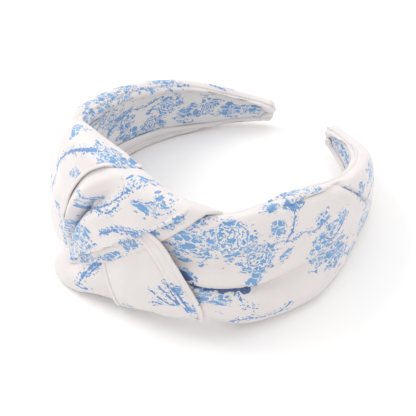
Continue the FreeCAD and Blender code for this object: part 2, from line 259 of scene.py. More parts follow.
# ---- materials --------------------------------------------------------------------------------
class Nodes:
    """Short ways to add and join shader nodes."""

    def __init__(self, name):
        self.material = bpy.data.materials.new(name)
        self.material.use_nodes = True
        self.tree = self.material.node_tree
        self.tree.nodes.clear()

    def add(self, kind, inputs=None, **settings):
        """New shader node. Its inputs are values or other nodes' outputs."""
        node = self.tree.nodes.new("ShaderNode" + kind)
        for key, value in settings.items():
            setattr(node, key, value)
        for key, value in (inputs or {}).items():
            if isinstance(value, bpy.types.NodeSocket):
                self.tree.links.new(value, node.inputs[key])
            else:
                node.inputs[key].default_value = value
        return node

    def math(self, operation, *values, clamp=False):
        return self.add("Math", dict(enumerate(values)), operation=operation, use_clamp=clamp).outputs[0]

    def times(self, first, second, clamp=False):
        return self.math("MULTIPLY", first, second, clamp=clamp)

    def plus(self, first, second):
        return self.math("ADD", first, second)

    def minus(self, first, second):
        return self.math("SUBTRACT", first, second)

    def most(self, first, second, clamp=False):
        return self.math("MAXIMUM", first, second, clamp=clamp)

    def centred(self, value, amount):
        """A noise value centred on 0, times amount."""
        return self.times(self.minus(value, 0.5), amount)

    def step(self, value, low, high):
        """0 below low, 1 above high, smooth between; low above high turns it round."""
        rising = low < high
        limits = {"From Min": min(low, high), "From Max": max(low, high), "To Min": float(not rising),
                  "To Max": float(rising)}
        return self.add("MapRange", {"Value": value, **limits}, interpolation_type="SMOOTHSTEP").outputs[0]

    def noise(self, vector, scale, detail, rough=0.5, output="Fac"):
        inputs = {"Vector": vector, "Scale": scale, "Detail": detail, "Roughness": rough}
        return self.add("TexNoise", inputs, noise_dimensions="3D").outputs[output]

    def cells(self, vector, scale, feature="DISTANCE_TO_EDGE"):
        inputs = {"Vector": vector, "Scale": scale}
        return self.add("TexVoronoi", inputs, feature=feature).outputs["Distance"]

    def mix(self, share, first, second):
        return self.add("Mix", {0: share, 6: first, 7: second}, data_type="RGBA").outputs[2]

    def shifted(self, vector, by, amount):
        """vector moved by a noise's colour, centred, times amount."""
        centred = self.add("VectorMath", {0: by, 1: (0.5, 0.5, 0.5)}, operation="SUBTRACT").outputs[0]
        scaled = self.add("VectorMath", {0: centred, "Scale": amount}, operation="SCALE").outputs[0]
        return self.add("VectorMath", {0: vector, 1: scaled}, operation="ADD").outputs[0]

    def bumps(self, height, strength, distance):
        """Normal with bumps of a height; distance in metres."""
        inputs = {"Height": height, "Strength": strength, "Distance": distance}
        return self.add("Bump", inputs).outputs["Normal"]

    def surface(self, inputs):
        """Principled shader with these inputs, joined to the output."""
        shader = self.add("BsdfPrincipled", inputs)
        self.add("OutputMaterial", {0: shader.outputs[0]})


IVORY = (0.74, 0.70, 0.695)
LINING_IVORY = (0.72, 0.70, 0.70)
LIGHT_BLUE = (0.125, 0.34, 0.64)
LINING_BLUE = (0.12, 0.31, 0.60)
DEEP_BLUE = (0.035, 0.13, 0.43)
# dark blue painted into the right cover's slit as its shadow
SLIT_SHADE_NAVY = (0.020, 0.055, 0.20)
PRINT_SLANT = math.radians(-32)
PRINT_STRETCH = (0.62, 1.25)


def shaded(colour, share=1.0):
    """A colour times share, with full opacity."""
    return tuple(share * part for part in colour) + (1,)


def toile(nodes, cloth, fineness):
    """Masks of the blue print, of its darker lines and of the painted shadow filled in dark blue inside the
    slit, from the motif distances stored on the mesh."""
    solid, bloom, twig, rose = (nodes.add("Attribute", attribute_name=name).outputs["Fac"]
                                for name in ("solid", "bloom", "twig", "rose"))
    stretch = (PRINT_STRETCH[0] * fineness, PRINT_STRETCH[1] * fineness, 1)
    turn = (0, 0, PRINT_SLANT)
    slanted = nodes.add("Mapping", {"Vector": cloth, "Rotation": turn, "Scale": stretch}).outputs[0]
    leafy = nodes.shifted(slanted, nodes.noise(cloth, 0.45, 3.0, 0.6, "Color"), 4.0)
    ragged = nodes.noise(slanted, 0.32, 5.0, 0.62)
    # clumps of leaves and flowers, ragged at the edge, cut by pale veins between the leaves
    field = nodes.plus(bloom, nodes.centred(ragged, 1.7))
    clump = nodes.step(field, 0.46, 0.49)
    rim = nodes.times(clump, nodes.step(field, 0.56, 0.51))
    vein = nodes.step(nodes.cells(leafy, 0.30), 0.04, 0.08)
    fine = nodes.step(nodes.cells(leafy, 0.62), 0.035, 0.075)
    open_part = nodes.step(nodes.noise(cloth, 0.2, 3.0), 0.46, 0.54)
    leaves = nodes.times(clump, nodes.times(vein, nodes.most(fine, open_part)))
    # petals of a rose: broken rings
    swirl = nodes.noise(cloth, 0.28, 3.0, 0.6)
    ring = nodes.math("SINE", nodes.plus(nodes.times(rose, 17.0), nodes.times(swirl, 34.0)))
    ragged_rim = nodes.plus(rose, nodes.centred(ragged, 0.8))
    petals = nodes.times(nodes.step(ring, -0.25, 0.1), nodes.step(ragged_rim, 1.0, 0.9))
    away = nodes.step(ragged_rim, 0.9, 1.05)
    flowers = nodes.most(nodes.times(leaves, away), petals)
    # twigs: thin lines that swell and break, with small leaves beside them
    wobble = nodes.centred(nodes.noise(cloth, 0.7, 4.0, 0.7), 2.6)
    line = nodes.step(nodes.minus(twig, wobble), 0.42, 0.28)
    spots = nodes.step(nodes.cells(leafy, 0.9, "F1"), 0.36, 0.30)
    near = nodes.step(nodes.minus(twig, nodes.times(wobble, 1.6)), 1.9, 1.5)
    stem = nodes.most(line, nodes.times(spots, near))
    dark = nodes.most(rim, nodes.times(stem, 0.8), clamp=True)
    # painted shadow: where the solid attribute is high (patches in the right cover's slit) the print is
    # filled dark blue to stand for the slit's shade
    painted_slit_shade = nodes.step(nodes.plus(solid, nodes.centred(ragged, 1.1)), 0.47, 0.52)
    blue = nodes.most(nodes.most(flowers, stem), painted_slit_shade, clamp=True)
    return blue, dark, painted_slit_shade


def satin(name, ground, light_blue, fineness=1.0, rough=0.40, sheen=0.35):
    """Printed satin: pale ground, blue print, painted shadow in dark blue where the mesh marks it, fine
    grain and a soft sheen.
    """
    nodes = Nodes(name)
    cloth = nodes.add("UVMap", uv_map="cloth").outputs["UV"]
    blue, dark, painted_slit_shade = toile(nodes, cloth, fineness)
    patchy = nodes.noise(cloth, 0.09, 3.0)
    tone = nodes.mix(nodes.step(patchy, 0.3, 0.7), shaded(light_blue), shaded(light_blue, 0.86))
    ink = nodes.mix(nodes.times(dark, 0.6), tone, shaded(DEEP_BLUE))
    # painted shadow: the slit's patches take the dark blue shadow colour
    ink = nodes.mix(nodes.times(painted_slit_shade, 0.85), ink, shaded(SLIT_SHADE_NAVY))
    dusty = nodes.noise(cloth, 1.6, 2.0)
    cover = nodes.times(blue, nodes.plus(nodes.times(dusty, 0.25), 0.80), clamp=True)
    base = nodes.mix(nodes.step(patchy, 0.35, 0.75), shaded(ground), shaded(ground, 0.965))
    grain = nodes.noise(cloth, 2.6, 3.0, 0.7)
    thread = nodes.noise(cloth, 9.0, 1.0)
    nodes.surface({"Base Color": nodes.mix(cover, base, ink), "Sheen Weight": sheen, "Sheen Roughness": 0.4,
                   "Roughness": nodes.plus(nodes.times(grain, 0.12), rough), "Specular IOR Level": 0.42,
                   "Normal": nodes.bumps(nodes.plus(grain, nodes.times(thread, 0.5)), 0.35, 0.00012)})
    return nodes.material


def plain(name, colour, rough, grain_scale, grain_depth):
    """Simple material with a grain: plastic, thread, wadding and glue."""
    nodes = Nodes(name)
    place = nodes.add("TexCoord").outputs["Object"]
    grain = nodes.noise(place, grain_scale, 3.0, 0.6)
    nodes.surface({"Base Color": nodes.mix(grain, shaded(colour), shaded(colour, 0.9)),
                   "Roughness": nodes.plus(nodes.times(grain, 0.15), rough),
                   "Normal": nodes.bumps(grain, 0.3, grain_depth)})
    return nodes.material


SATIN = satin("printed_satin", IVORY, LIGHT_BLUE)
LINING = satin("printed_lining", LINING_IVORY, LINING_BLUE, fineness=0.75, rough=0.56, sheen=0.15)
THREAD = plain("thread", (0.80, 0.76, 0.76), 0.6, 3000.0, 0.00005)
PLASTIC = plain("band_plastic", (0.78, 0.78, 0.76), 0.35, 600.0, 0.00003)
WADDING = plain("wadding", (0.85, 0.85, 0.84), 0.8, 900.0, 0.0004)
GLUE = plain("adhesive_film", (0.75, 0.74, 0.66), 0.3, 400.0, 0.00005)


def dress(piece, material):
    """Gives a piece its only material."""
    piece.data.materials.clear()
    piece.data.materials.append(material)


def cloth_piece(name, points, cloth, motifs=(), flip=False, thickness=FABRIC, material=SATIN):
    """Finished sheet of cloth from its grid. motifs are blooms, twigs, roses and patches of painted shadow,
    in this order.
    """
    piece = grid_mesh(name, points, cloth, flip)
    thicken(piece, thickness)
    paint(piece, *motifs)
    dress(piece, material)
    return piece


# ---- covers -----------------------------------------------------------------------------------
CROSS_POINTS = 17
CROSS_COLUMNS = 200
CREASE_POINT = 13     # the control point between the two rolls at the upper edge
LOWER_CREASE = 2.2    # the same at the lower edge
CREASE_WIDTH = 1.6    # in columns


def lip_widths(s):
    """Widths of the cover's rolls on the inner face, at the lower and the upper edge."""
    away = np.abs(s)
    lower = np.interp(away, (0, 60, 75, 100, 130, 145, 160, 187, 190), (8, 8, 9, 12, 8, 4, 1.6, 1.3, 4.6))
    upper = np.interp(away, (0, 60, 75, 110, 130, 145, 165, 187, 190),
                      (7, 7, 6.5, 4.6, 3.8, 2.8, 1.8, 1.5, 4.2))
    return lower, upper


def fullness(s):
    """How full the cover is at arc lengths s: 1 on the wide part of the band, less towards the tips."""
    return np.clip(half_height(s) / 12.0, 0.45, 1.0)


def lip_depth(s):
    """Offset of the inner face of the lips at arc lengths s."""
    return -2.6 - 0.8 * fullness(s)


def cover_section(s, rise):
    """The CROSS_POINTS (s, a, off) points across the cover at arc lengths s, from the lower lip's free edge,
    round the outside, to the upper lip's. rise lifts the upper edge."""
    half = half_height(s)
    top = half + rise
    lower, upper = lip_widths(s)
    wall = 2.6 + 2.8 * fullness(s)
    back = lip_depth(s)
    points = [
        (-half + lower, back + 0.7),
        (-half + lower * 0.80, back - 0.2),
        (-half + lower * 0.48, back + 0.2),
        (-half + lower * 0.22, back - 0.5),
        (-half - 0.2, back * 0.25),
        (-half + 0.5, wall * 0.55),
        (-half * 0.74, wall * 0.92),
        (-half * 0.38, wall),
        (0.0, wall * 1.02),
        (top * 0.38, wall),
        (top * 0.74, wall * 0.92),
        (top - 0.5, wall * 0.58),
        (top + 0.4, wall * 0.10),
        (top - 0.5, back * 0.55),
        (top - upper * 0.42, back - 0.5),
        (top - upper * 0.82, back - 0.1),
        (top - upper, back + 0.7),
    ]
    return np.stack([np.stack([s, a + 0 * s, off + 0 * s], -1) for a, off in points], 1)


def across_cover(controls):
    """Fine grid of places from control rows of CROSS_POINTS points, and the cloth's coordinate across."""
    knots = np.linspace(0, 1, CROSS_POINTS)
    fine = spline(knots, np.moveaxis(controls, 1, 0), np.linspace(0, 1, CROSS_COLUMNS))
    places = np.moveaxis(fine, 0, 1)
    steps = np.linalg.norm(np.diff(places[..., 1:], axis=1), axis=-1)
    run = np.concatenate([np.zeros((len(places), 1)), np.cumsum(steps, axis=1)], axis=1)
    middle = np.argmin(np.abs(places[..., 1]) + 10 * (places[..., 2] < 1), axis=1)
    run = run - run[np.arange(len(run)), middle][:, None]
    cloth = np.stack([places[..., 0], run], -1)
    return places, cloth


def groove(points, position, depth):
    """Presses a soft crease into a cover's grid along one position across it (in control points)."""
    middle = position / (CROSS_POINTS - 1) * (CROSS_COLUMNS - 1)
    press = bump(np.arange(CROSS_COLUMNS), middle, CREASE_WIDTH) * depth * MM
    return points - grid_normals(points) * press[None, :, None]


def creased(points):
    """A cover's grid with the creases between its rolls, at both edges of the band."""
    return groove(groove(points, CREASE_POINT, 0.9), LOWER_CREASE, 0.7)


def rolled(points, cloth, side="last row", radius=0.5, tuck=2.0):
    """Adds a hem along one side of a grid: the sheet rolls over and runs back underneath itself."""
    turn = {"last row": (), "last column": (1,), "first column": (1, 0)}[side]
    for step in turn:
        points = np.swapaxes(points, 0, 1) if step else points[::-1]
        cloth = np.swapaxes(cloth, 0, 1) if step else cloth[::-1]
    sign = -1.0 if side == "last column" else 1.0
    normal = sign * grid_normals(points)[-1] * MM
    ahead = points[-1] - points[-3]
    ahead = ahead / np.maximum(np.linalg.norm(ahead, axis=-1, keepdims=True), 1e-12) * MM
    rows = [points[-1] + radius * (math.sin(t) * ahead - (1 - math.cos(t)) * normal)
            for t in np.linspace(0, math.pi, 7)[1:]]
    rows += [rows[-1] - ahead * tuck * share for share in (0.4, 0.8)]
    extra = [cloth[-1] + (0.35 * radius * (n + 1), 0.0) for n in range(len(rows))]
    points = np.concatenate([points, rows])
    cloth = np.concatenate([cloth, extra])
    for step in reversed(turn):
        points = np.swapaxes(points, 0, 1) if step else points[::-1]
        cloth = np.swapaxes(cloth, 0, 1) if step else cloth[::-1]
    return points, cloth


# Rows that close a cover over the tip: how far each lies beyond it, and its share of the tip's section.
TIP_ROWS = ((1.8, 0.16), (1.6, 0.55), (0.8, 0.87))
TIP_KNOTS = np.array([1.8, 1.3, 0.7])
TIP_FINE_ROWS = 9


def closed_tip(controls, side):
    """Adds rows that round the cover off over the tip, from control rows whose first row is the tip."""
    tip = controls[0]
    middle = tip.mean(axis=0)
    ends = []
    for beyond, share in TIP_ROWS:
        row = middle + (tip - middle) * share
        row[:, 0] = tip[:, 0] + side * beyond
        ends.append(row)
    return np.concatenate([ends, controls])


# The left strip turns over the band at the knot. Each row has the 17 (s, a, off) points across it.
LEFT_TURN = (
    (-47, -14.2, -2.6), (-47, -16.0, -3.8), (-47, -18.8, -3.2), (-47, -21.2, -3.6), (-47, -22.2, -0.8),
    (-47, -21.2, 2.2), (-47, -16.5, 3.6), (-47, -8.8, 3.9), (-47, 0.8, 4.4), (-47, 10.5, 5.1),
    (-46.5, 20, 4.4), (-46.5, 28, 2.6), (-46.5, 31.2, 0.0), (-46.5, 30.6, -3.0), (-46.5, 26.5, -5.2),
    (-46.5, 20, -5.2), (-46.5, 12.5, -3.2))
LEFT_MIDDLE = (
    (-41, -13.6, -2.8), (-41, -15.4, -4.0), (-41, -17.8, -3.4), (-41, -20, -3.4), (-41, -20.9, -0.8),
    (-40.8, -19.8, 1.9), (-40, -15.8, 3.5), (-40, -8.8, 3.7), (-41, 0.5, 4.1), (-40.5, 10.5, 4.6),
    (-38.5, 21, 4.8), (-36.5, 29, 3.6), (-35.5, 33.4, 0.8), (-35.5, 32.8, -3.0), (-36, 28.5, -5.6),
    (-36.5, 21, -5.6), (-37, 12.4, -3.3))
LEFT_NEAR = (
    (-27, -13, -3.2), (-27, -15, -4.2), (-27, -17.4, -3.6), (-27, -19.8, -3.2), (-26.8, -20.7, -0.6),
    (-26.4, -19.6, 2.2), (-25.4, -16, 4.0), (-24.5, -11, 5.0), (-28.5, -1.5, 6.8), (-27, 9, 7.6),
    (-22.5, 21, 7.8), (-18, 30, 6.6), (-17, 34.2, 2.4), (-17, 33.2, -3.0), (-18, 28.5, -5.8),
    (-18, 20, -5.8), (-18, 12, -3.6))
LEFT_WAIST = (
    (-19, -13, -3.2), (-19, -15, -4.2), (-19, -17.6, -3.6), (-19.5, -20.2, -3.2), (-20, -21.2, -0.4),
    (-20, -20.2, 2.6), (-19.6, -16.6, 4.6), (-19.6, -11.5, 5.5), (-23.5, -1.5, 7.3), (-22, 9, 8.1),
    (-16.5, 21.5, 8.4), (-10, 30, 7.1), (-6, 33.3, 3.1), (-4, 32.0, -2.9), (-4, 27.3, -5.7),
    (-4, 20, -5.8), (-4, 12, -3.7))
LEFT_END = (
    (-8, -13, -3.2), (-8, -15, -4.2), (-8, -18, -3.6), (-8.5, -20.8, -3.2), (-9.5, -21.8, -0.4),
    (-11, -20.8, 2.8), (-12.4, -17, 4.6), (-14.6, -12.5, 5.4), (-19, -1.5, 8.2), (-17.3, 9, 9.0),
    (-11, 22.7, 9.2), (-3.1, 30.1, 7.3), (2.6, 30.7, 3.2), (5.6, 29.4, -2.9), (7, 26, -5.5),
    (8, 20, -5.7), (7.5, 12, -3.8))


def left_strip():
    """Left cover and its turn over the band at the knot, ending in the curved hem."""
    arm = np.linspace(-TIP_AT, -51.5, 60)
    rise = np.interp(-arm, (51, 65, 85, 100, 118, 143, 170), (2.0, 3.6, 2.2, 1.9, 1.2, 1.5, 0.4))
    turn = (LEFT_TURN, LEFT_MIDDLE, LEFT_NEAR, LEFT_WAIST, LEFT_END)
    controls = closed_tip(np.concatenate([cover_section(arm, rise), turn]), -1)
    knots = np.concatenate([-TIP_AT - TIP_KNOTS, arm, [-47.5, -40, -27, -19, -10]])
    rows = np.concatenate([-TIP_AT - np.linspace(1.8, 0.2, TIP_FINE_ROWS), np.linspace(-TIP_AT, -58, 215),
                           np.linspace(-57.4, -10, 100)])
    places, cloth = across_cover(spline(knots, controls, rows))
    s = places[..., 0]
    a = places[..., 1]
    outside = ease(places[..., 2], 1.0, 4.0)
    near = ease(s, -70, -40)
    places[..., 2] += outside * near * 0.8 * bump(a + 0.35 * (s + 40), 8, 2.6)
    places[..., 2] -= outside * near * 0.8 * bump(a + 0.55 * (s + 36), -4, 1.8)
    points = at(places)
    points = crumple(points, cloth, 0.7, 16.0, (1.8, 0.8), 3.1)
    points = crumple(points, cloth, 0.25, 5.0, (1.6, 0.8), 7.7)
    points, cloth = rolled(creased(points), cloth)
    return cloth_piece("left_cover", points, cloth, (LEFT_BLOOMS, LEFT_TWIGS, LEFT_ROSES))


# Across the slit near the knot: the upper panel's edge hangs over it, the satin goes in behind that edge
# and comes out again as the lower panel. Places are 0 at the upper panel's edge and -1 at the lower
# panel's; above the slit one unit is SLIT_UNIT. Each place has a shift up and a change of offset.
SLIT_UNIT = 4.0
SLIT_AT = (-3.0, -2.0, -1.35, -1.05, -0.85, -0.6, -0.3, -0.1, 0.0, 0.3, 1.0, 2.0, 3.0)
SLIT_SHIFT = (0.0, 0.0, 0.1, 0.3, 0.9, 1.3, 1.6, 1.0, -0.2, -0.1, 0.0, 0.0, 0.0)
SLIT_DEPTH = (0.0, 0.4, 0.6, 0.1, -1.4, -2.1, -2.2, -0.6, 1.8, 1.9, 1.5, 0.6, 0.0)


def slit_line(s):
    """Height of the upper panel's edge, over the right cover's deep fold."""
    return np.interp(s, (30, 36, 43, 50, 56, 61, 69, 78, 90, 105),
                     (-2.6, -2.8, -2.4, -2.6, -3.6, -4.4, -4.8, -4.5, -3.2, -1.0))


def slit_width(s):
    """Height of the slit's opening."""
    return np.interp(s, (34, 40, 45, 50, 56, 74), (1.2, 2.4, 3.2, 3.9, 4.3, 6.0))


def open_slit(s, a):
    """Shifts and changes of offset that open the slit near the knot."""
    gap = a - slit_line(s)
    width = slit_width(s)
    place = np.clip(np.where(gap < 0, gap / width, gap / SLIT_UNIT), SLIT_AT[0], SLIT_AT[-1])
    size = (1 - ease(s, 54, 76)) * ease(width, 0.6, 2.8)
    return size * spline(SLIT_AT, SLIT_SHIFT, place), size * spline(SLIT_AT, SLIT_DEPTH, place)


def right_pleats(s, a):
    """Offsets of the right cover's pleats: one deep fold that opens into a valley, and softer dents."""
    fold = slit_line(s)
    depth = np.interp(s, (30, 40, 54, 70, 85, 100, 118), (4.4, 4.4, 4.2, 3.0, 2.1, 1.2, 0.0))
    width = np.interp(s, (30, 55, 70, 95), (2.6, 4.4, 7.5, 9.0))
    valley = -depth * ease(s, 52, 76) * np.where(a > fold, bump(a, fold, 1.3), bump(a, fold, width))
    overhang = 0.9 * bump(s, 60, 30) * bump(a, fold + 4.5, 3.0)
    belly = 2.0 * bump(s, 62, 36) * bump(a, -16, 6.5)
    dent_at = np.interp(s, (30, 41, 47, 55, 66), (1.6, 4.0, 4.0, 0.8, -1.2))
    dent = -1.5 * (1 - ease(s, 48, 68)) * bump(a, dent_at, 3.0)
    chest = 1.2 * bump(s, 62, 34) * bump(a, 13, 6.0)
    low = -0.9 * bump(s, 97, 16) * bump(a, np.interp(s, (86, 97, 106), (-21.0, -18.5, -15.0)), 1.2)
    return valley + overhang + belly + dent + chest + low


def corner_fold(s, a):
    """Crease from the upper edge down to the outer corner, where the arm turns in towards its tip."""
    line = np.interp(s, (98, 102, 111, 124, 134), (24.0, 21.7, 15.3, 4.3, -1.5))
    size = ease(s, 97, 103) * (1 - ease(s, 124, 136))
    return size * (-1.7 * bump(a, line, 1.1) + 0.7 * bump(a, line - 3.0, 2.4))


def right_strip():
    """Right cover, gathered into pleats towards the knot."""
    arm = np.linspace(-8, TIP_AT, 90)
    rise = np.interp(arm, (-8, 38, 50, 66, 76, 90, 100, 116, 143, 170),
                     (0.5, -0.4, -0.2, 1.2, 3, 3, 1.8, 1.0, 1.2, 0.4))
    controls = closed_tip(cover_section(arm, rise)[::-1], 1)[::-1]
    knots = np.concatenate([arm, TIP_AT + TIP_KNOTS[::-1]])
    rows = np.concatenate([np.linspace(-8, 30, 20), np.linspace(30.6, TIP_AT, 300),
                           TIP_AT + np.linspace(0.2, 1.8, TIP_FINE_ROWS)])
    places, cloth = across_cover(spline(knots, controls, rows))
    s = places[..., 0]
    a = places[..., 1]
    outside = ease(places[..., 2], 1.2, 4.2)
    places[..., 2] += outside * (right_pleats(s, a) + corner_fold(s, a))
    places[..., 1] *= 1 + (0.11 * bump(s, 76, 28) - 0.2 * bump(s, 42, 8)) * (a < 0)
    places[..., 2] += outside * 2.2 * bump(s, 86, 20) * bump(a, -15, 8)
    places[..., 2] -= outside * 2.0 * bump(s, 122, 22) * bump(a, -15, 9)
    shift, depth = open_slit(s, a)
    places[..., 1] += outside * shift
    places[..., 2] += outside * depth
    roll = bump(a, half_height(s) + np.interp(s, (60, 82, 102), (0.2, 1.6, 1.4)), 0.9)
    rounded = ease(s, 60, 78) * (1 - ease(s, 100, 112))
    places[..., 2] -= ease(places[..., 2], 0.5, 2.5) * rounded * 1.6 * roll
    points = at(places)
    points = crumple(points, cloth, 0.7, 15.0, (2.0, 0.8), 11.0)
    points = crumple(points, cloth, 0.22, 5.0, (1.6, 0.8), 4.3)
    motifs = (RIGHT_BLOOMS, RIGHT_TWIGS, RIGHT_ROSES, RIGHT_PAINTED_SHADE)
    return cloth_piece("right_cover", creased(points), cloth, motifs)


# ---- knot -------------------------------------------------------------------------------------
def patch(rows, along, across):
    """Fine grid of places through rows of control points."""
    rows = np.array(rows, float)
    grid = spline(np.arange(len(rows)), rows, np.linspace(0, len(rows) - 1, along))
    grid = np.moveaxis(grid, 1, 0)
    grid = spline(np.arange(len(grid)), grid, np.linspace(0, len(grid) - 1, across))
    return np.moveaxis(grid, 0, 1)


def unrolled(places, turn):
    """Cloth coordinates of a knot sheet: s and a on the outside, carried on past the turn over the edge.
    turn is 1 where the sheet turns over the upper edge, -1 over the lower."""
    a = places[..., 1] * turn
    edge = np.argmax(a, axis=0)
    top = a[edge, np.arange(a.shape[1])]
    past = np.arange(len(a))[:, None] > edge
    v = np.where(past, 2 * top - a + np.maximum(0, 4 - places[..., 2]), a)
    return np.stack([places[..., 0], v * turn], -1)


# The wrap is a fan of pleats. Each line runs from the pinch over the outside, over the upper edge and down
# the inner face.
WRAP_LINES = (
    ((-16.2, -15.0, 6.2), (-21, -5, 6.4), (-21.5, 5, 6.6), (-18, 14.5, 7.2), (-11.5, 23.5, 7.6),
     (-3.5, 29.6, 6.4), (0.5, 30.6, 2.4), (1.5, 29.6, -3.0), (2, 24, -4.8), (3, 14, -3.0)),
    ((-15.9, -15.4, 6.9), (-17.8, -5, 8.2), (-17, 4, 9.2), (-12.5, 13.5, 9.9), (-5, 22.5, 9.8),
     (4, 29.6, 7.1), (8, 30.4, 3.0), (9.5, 29.2, -3.2), (10, 23, -4.9), (11, 13.5, -3.0)),
    ((-15.6, -15.9, 7.0), (-15.2, -7, 6.7), (-14.4, 0, 6.8), (-11, 7.5, 7.2), (-4.5, 15.5, 8.0),
     (7.5, 26.3, 8.4), (14.5, 29.3, 3.6), (16.5, 27.3, -3.2), (17.5, 22, -5.0), (18, 13, -3.0)),
    ((-15.4, -16.4, 7.4), (-12.8, -8.5, 8.4), (-10, -2, 9.2), (-5, 4.5, 9.8), (3, 12, 10.0),
     (15.5, 24, 8.6), (22, 27.9, 3.8), (24, 25.8, -3.2), (25, 21, -5.0), (25, 12, -3.0)),
    ((-15.2, -17, 7.8), (-9, -10, 8.8), (-2.5, -4.5, 9.6), (5.5, 1.5, 10.0), (14.5, 9.5, 9.8),
     (24.5, 21.2, 8.4), (29, 26.9, 3.8), (31.5, 24.8, -3.2), (32, 19, -4.9), (32, 11, -3.0)),
    ((-14.9, -17.8, 8.0), (-5, -8.5, 8.9), (3, -1.4, 9.4), (11, 5.7, 9.6), (19.5, 13.4, 9.2),
     (29, 21.2, 7.8), (34, 26.2, 3.8), (37, 24.4, -3.0), (37.5, 19, -4.8), (37.5, 10, -3.0)),
    ((-14.6, -18.6, 8.0), (-5, -12.4, 8.6), (4.4, -6.6, 9.0), (13.3, 1.1, 9.2), (23.2, 9.9, 9.0),
     (32.4, 19.1, 7.6), (39.0, 24.9, 3.2), (46, 22.4, -2.6), (46.5, 17.5, -4.4), (46, 9.5, -3.0)),
)
WRAP_CREASE = 5.0     # the line where the wrap's hem is folded


def wrap():
    """Fan-shaped wrap over the crown, with a folded hem and one deep pleat."""
    places = patch(WRAP_LINES, 150, 150)       # lines by stations
    places = np.moveaxis(places, 0, 1)         # stations by lines
    cloth = unrolled(places, 1)
    station = np.linspace(0, len(WRAP_LINES[0]) - 1, places.shape[0])[:, None]
    line = np.linspace(0, len(WRAP_LINES) - 1, places.shape[1])[None, :]
    outer = (1 - ease(station, 4.9, 5.9)) * ease(station, 0.05, 0.8)
    hem = line - WRAP_CREASE
    step = 1.2 * ease(hem, -0.02, 0.06) + bump(hem, 0.07, 0.06)
    lip = 0.5 * bump(hem, -0.12, 0.14)
    deep = ease(station, 0.2, 1.2) * (1 - ease(station, 3.2, 5.2))
    beside = 1.3 * bump(line, 1.30, 0.42) + 0.8 * bump(line, 2.75, 0.3)
    pleat = deep * (3.8 * bump(line, 2.05, 0.30) - beside)
    places[..., 0] += deep * 1.4 * bump(line, 1.70, 0.24)
    pucker = 0.22 * np.sin(cloth[..., 0] * 2.5 + 3 * np.sin(cloth[..., 0])) * ease(line, 5.1, 5.8)
    pucker = pucker * ease(station, 0.2, 0.8) * (1 - ease(station, 1.8, 3.2))
    places[..., 2] += outer * (lip - step) + pucker - pleat
    points = at(places)
    points = crumple(points, cloth, 0.45, 12.0, (1.4, 1.0), 21.0)
    points = crumple(points, cloth, 0.12, 3.5, (1.2, 0.8), 5.5)
    points, cloth = rolled(points, cloth, "last column", 0.4, 2.5)
    return cloth_piece("wrap_cloth", points, cloth, (WRAP_BLOOMS, WRAP_TWIGS), flip=True)


# Each row crosses the under panel from its left edge to its right one; rows go down from under the wrap.
PANEL_ROWS = (
    ((-3, -2, 6.2), (3, 3, 6.4), (9, 7.5, 6.4), (14.5, 11, 6.4), (19.0, 14.5, 6.6)),
    ((2.0, -9.4, 6.9), (8.5, -4.5, 7.4), (15, -0.5, 7.5), (21.7, 6.0, 7.2), (26.3, 11.0, 7.4)),
    ((4.3, -14.2, 7.2), (11.5, -10.5, 7.9), (18.5, -6, 7.9), (27.2, -0.5, 7.2), (32.3, 4.0, 7.5)),
    ((7.5, -20.1, 7.0), (14.5, -16.8, 7.4), (22.5, -13, 7.6), (32, -8.2, 7.0), (36.8, -4.0, 7.3)),
    ((9.4, -25.0, 5.2), (16.8, -22.6, 5.2), (25.8, -19.2, 5.4), (36.0, -14.6, 6.2), (40.2, -11.6, 6.6)),
    ((9.0, -27.2, 2.0), (17.2, -25.0, 1.8), (26.2, -23.2, 1.8), (37.4, -20.2, 2.6), (41.4, -18.8, 3.2)),
    ((9.5, -26.0, -1.5), (18, -24.6, -1.8), (26.5, -23.4, -1.8), (36.5, -22.4, -1.2), (40.8, -22.2, -0.8)),
    ((10, -23.2, -4.2), (18, -22.2, -4.5), (26.5, -21.5, -4.5), (36.5, -21.0, -4.2), (40.0, -20.8, -4.0)),
    ((10, -15.5, -3.2), (18, -15.5, -3.2), (26.5, -15, -3.2), (36.5, -14.5, -3.2), (40.0, -14.5, -3.2)),
)


def under_panel():
    """Panel that comes out under the wrap and goes down over the lower edge, with a folded strip at its
    right border."""
    places = patch(PANEL_ROWS, 120, 100)
    cloth = unrolled(places, -1)
    column = np.linspace(0, len(PANEL_ROWS[0]) - 1, places.shape[1])[None, :]
    row = np.linspace(0, len(PANEL_ROWS) - 1, places.shape[0])[:, None]
    strip = 1.1 * ease(column, 2.98, 3.06) + 0.3 * bump(column, 3.14, 0.09) - 0.4 * bump(column, 2.96, 0.04)
    places[..., 2] += strip * (1 - ease(row, 4.4, 5.2))
    swell = 0.5 * bump(column, 1.3, 0.5) * bump(row, 3.2, 1.2)
    dent = 0.5 * bump(column, 2.2, 0.35) * bump(row, 3, 1.3)
    places[..., 2] += swell - dent
    points = at(places)
    points = crumple(points, cloth, 0.4, 11.0, (0.9, 1.6), 31.0)
    points = crumple(points, cloth, 0.10, 3.5, (0.8, 1.2), 6.5)
    points, cloth = rolled(points, cloth, "last column", 0.5, 2.0)
    points, cloth = rolled(points, cloth, "first column", 0.35, 2.0)
    return cloth_piece("panel_cloth", points, cloth, (PANEL_BLOOMS, PANEL_TWIGS))


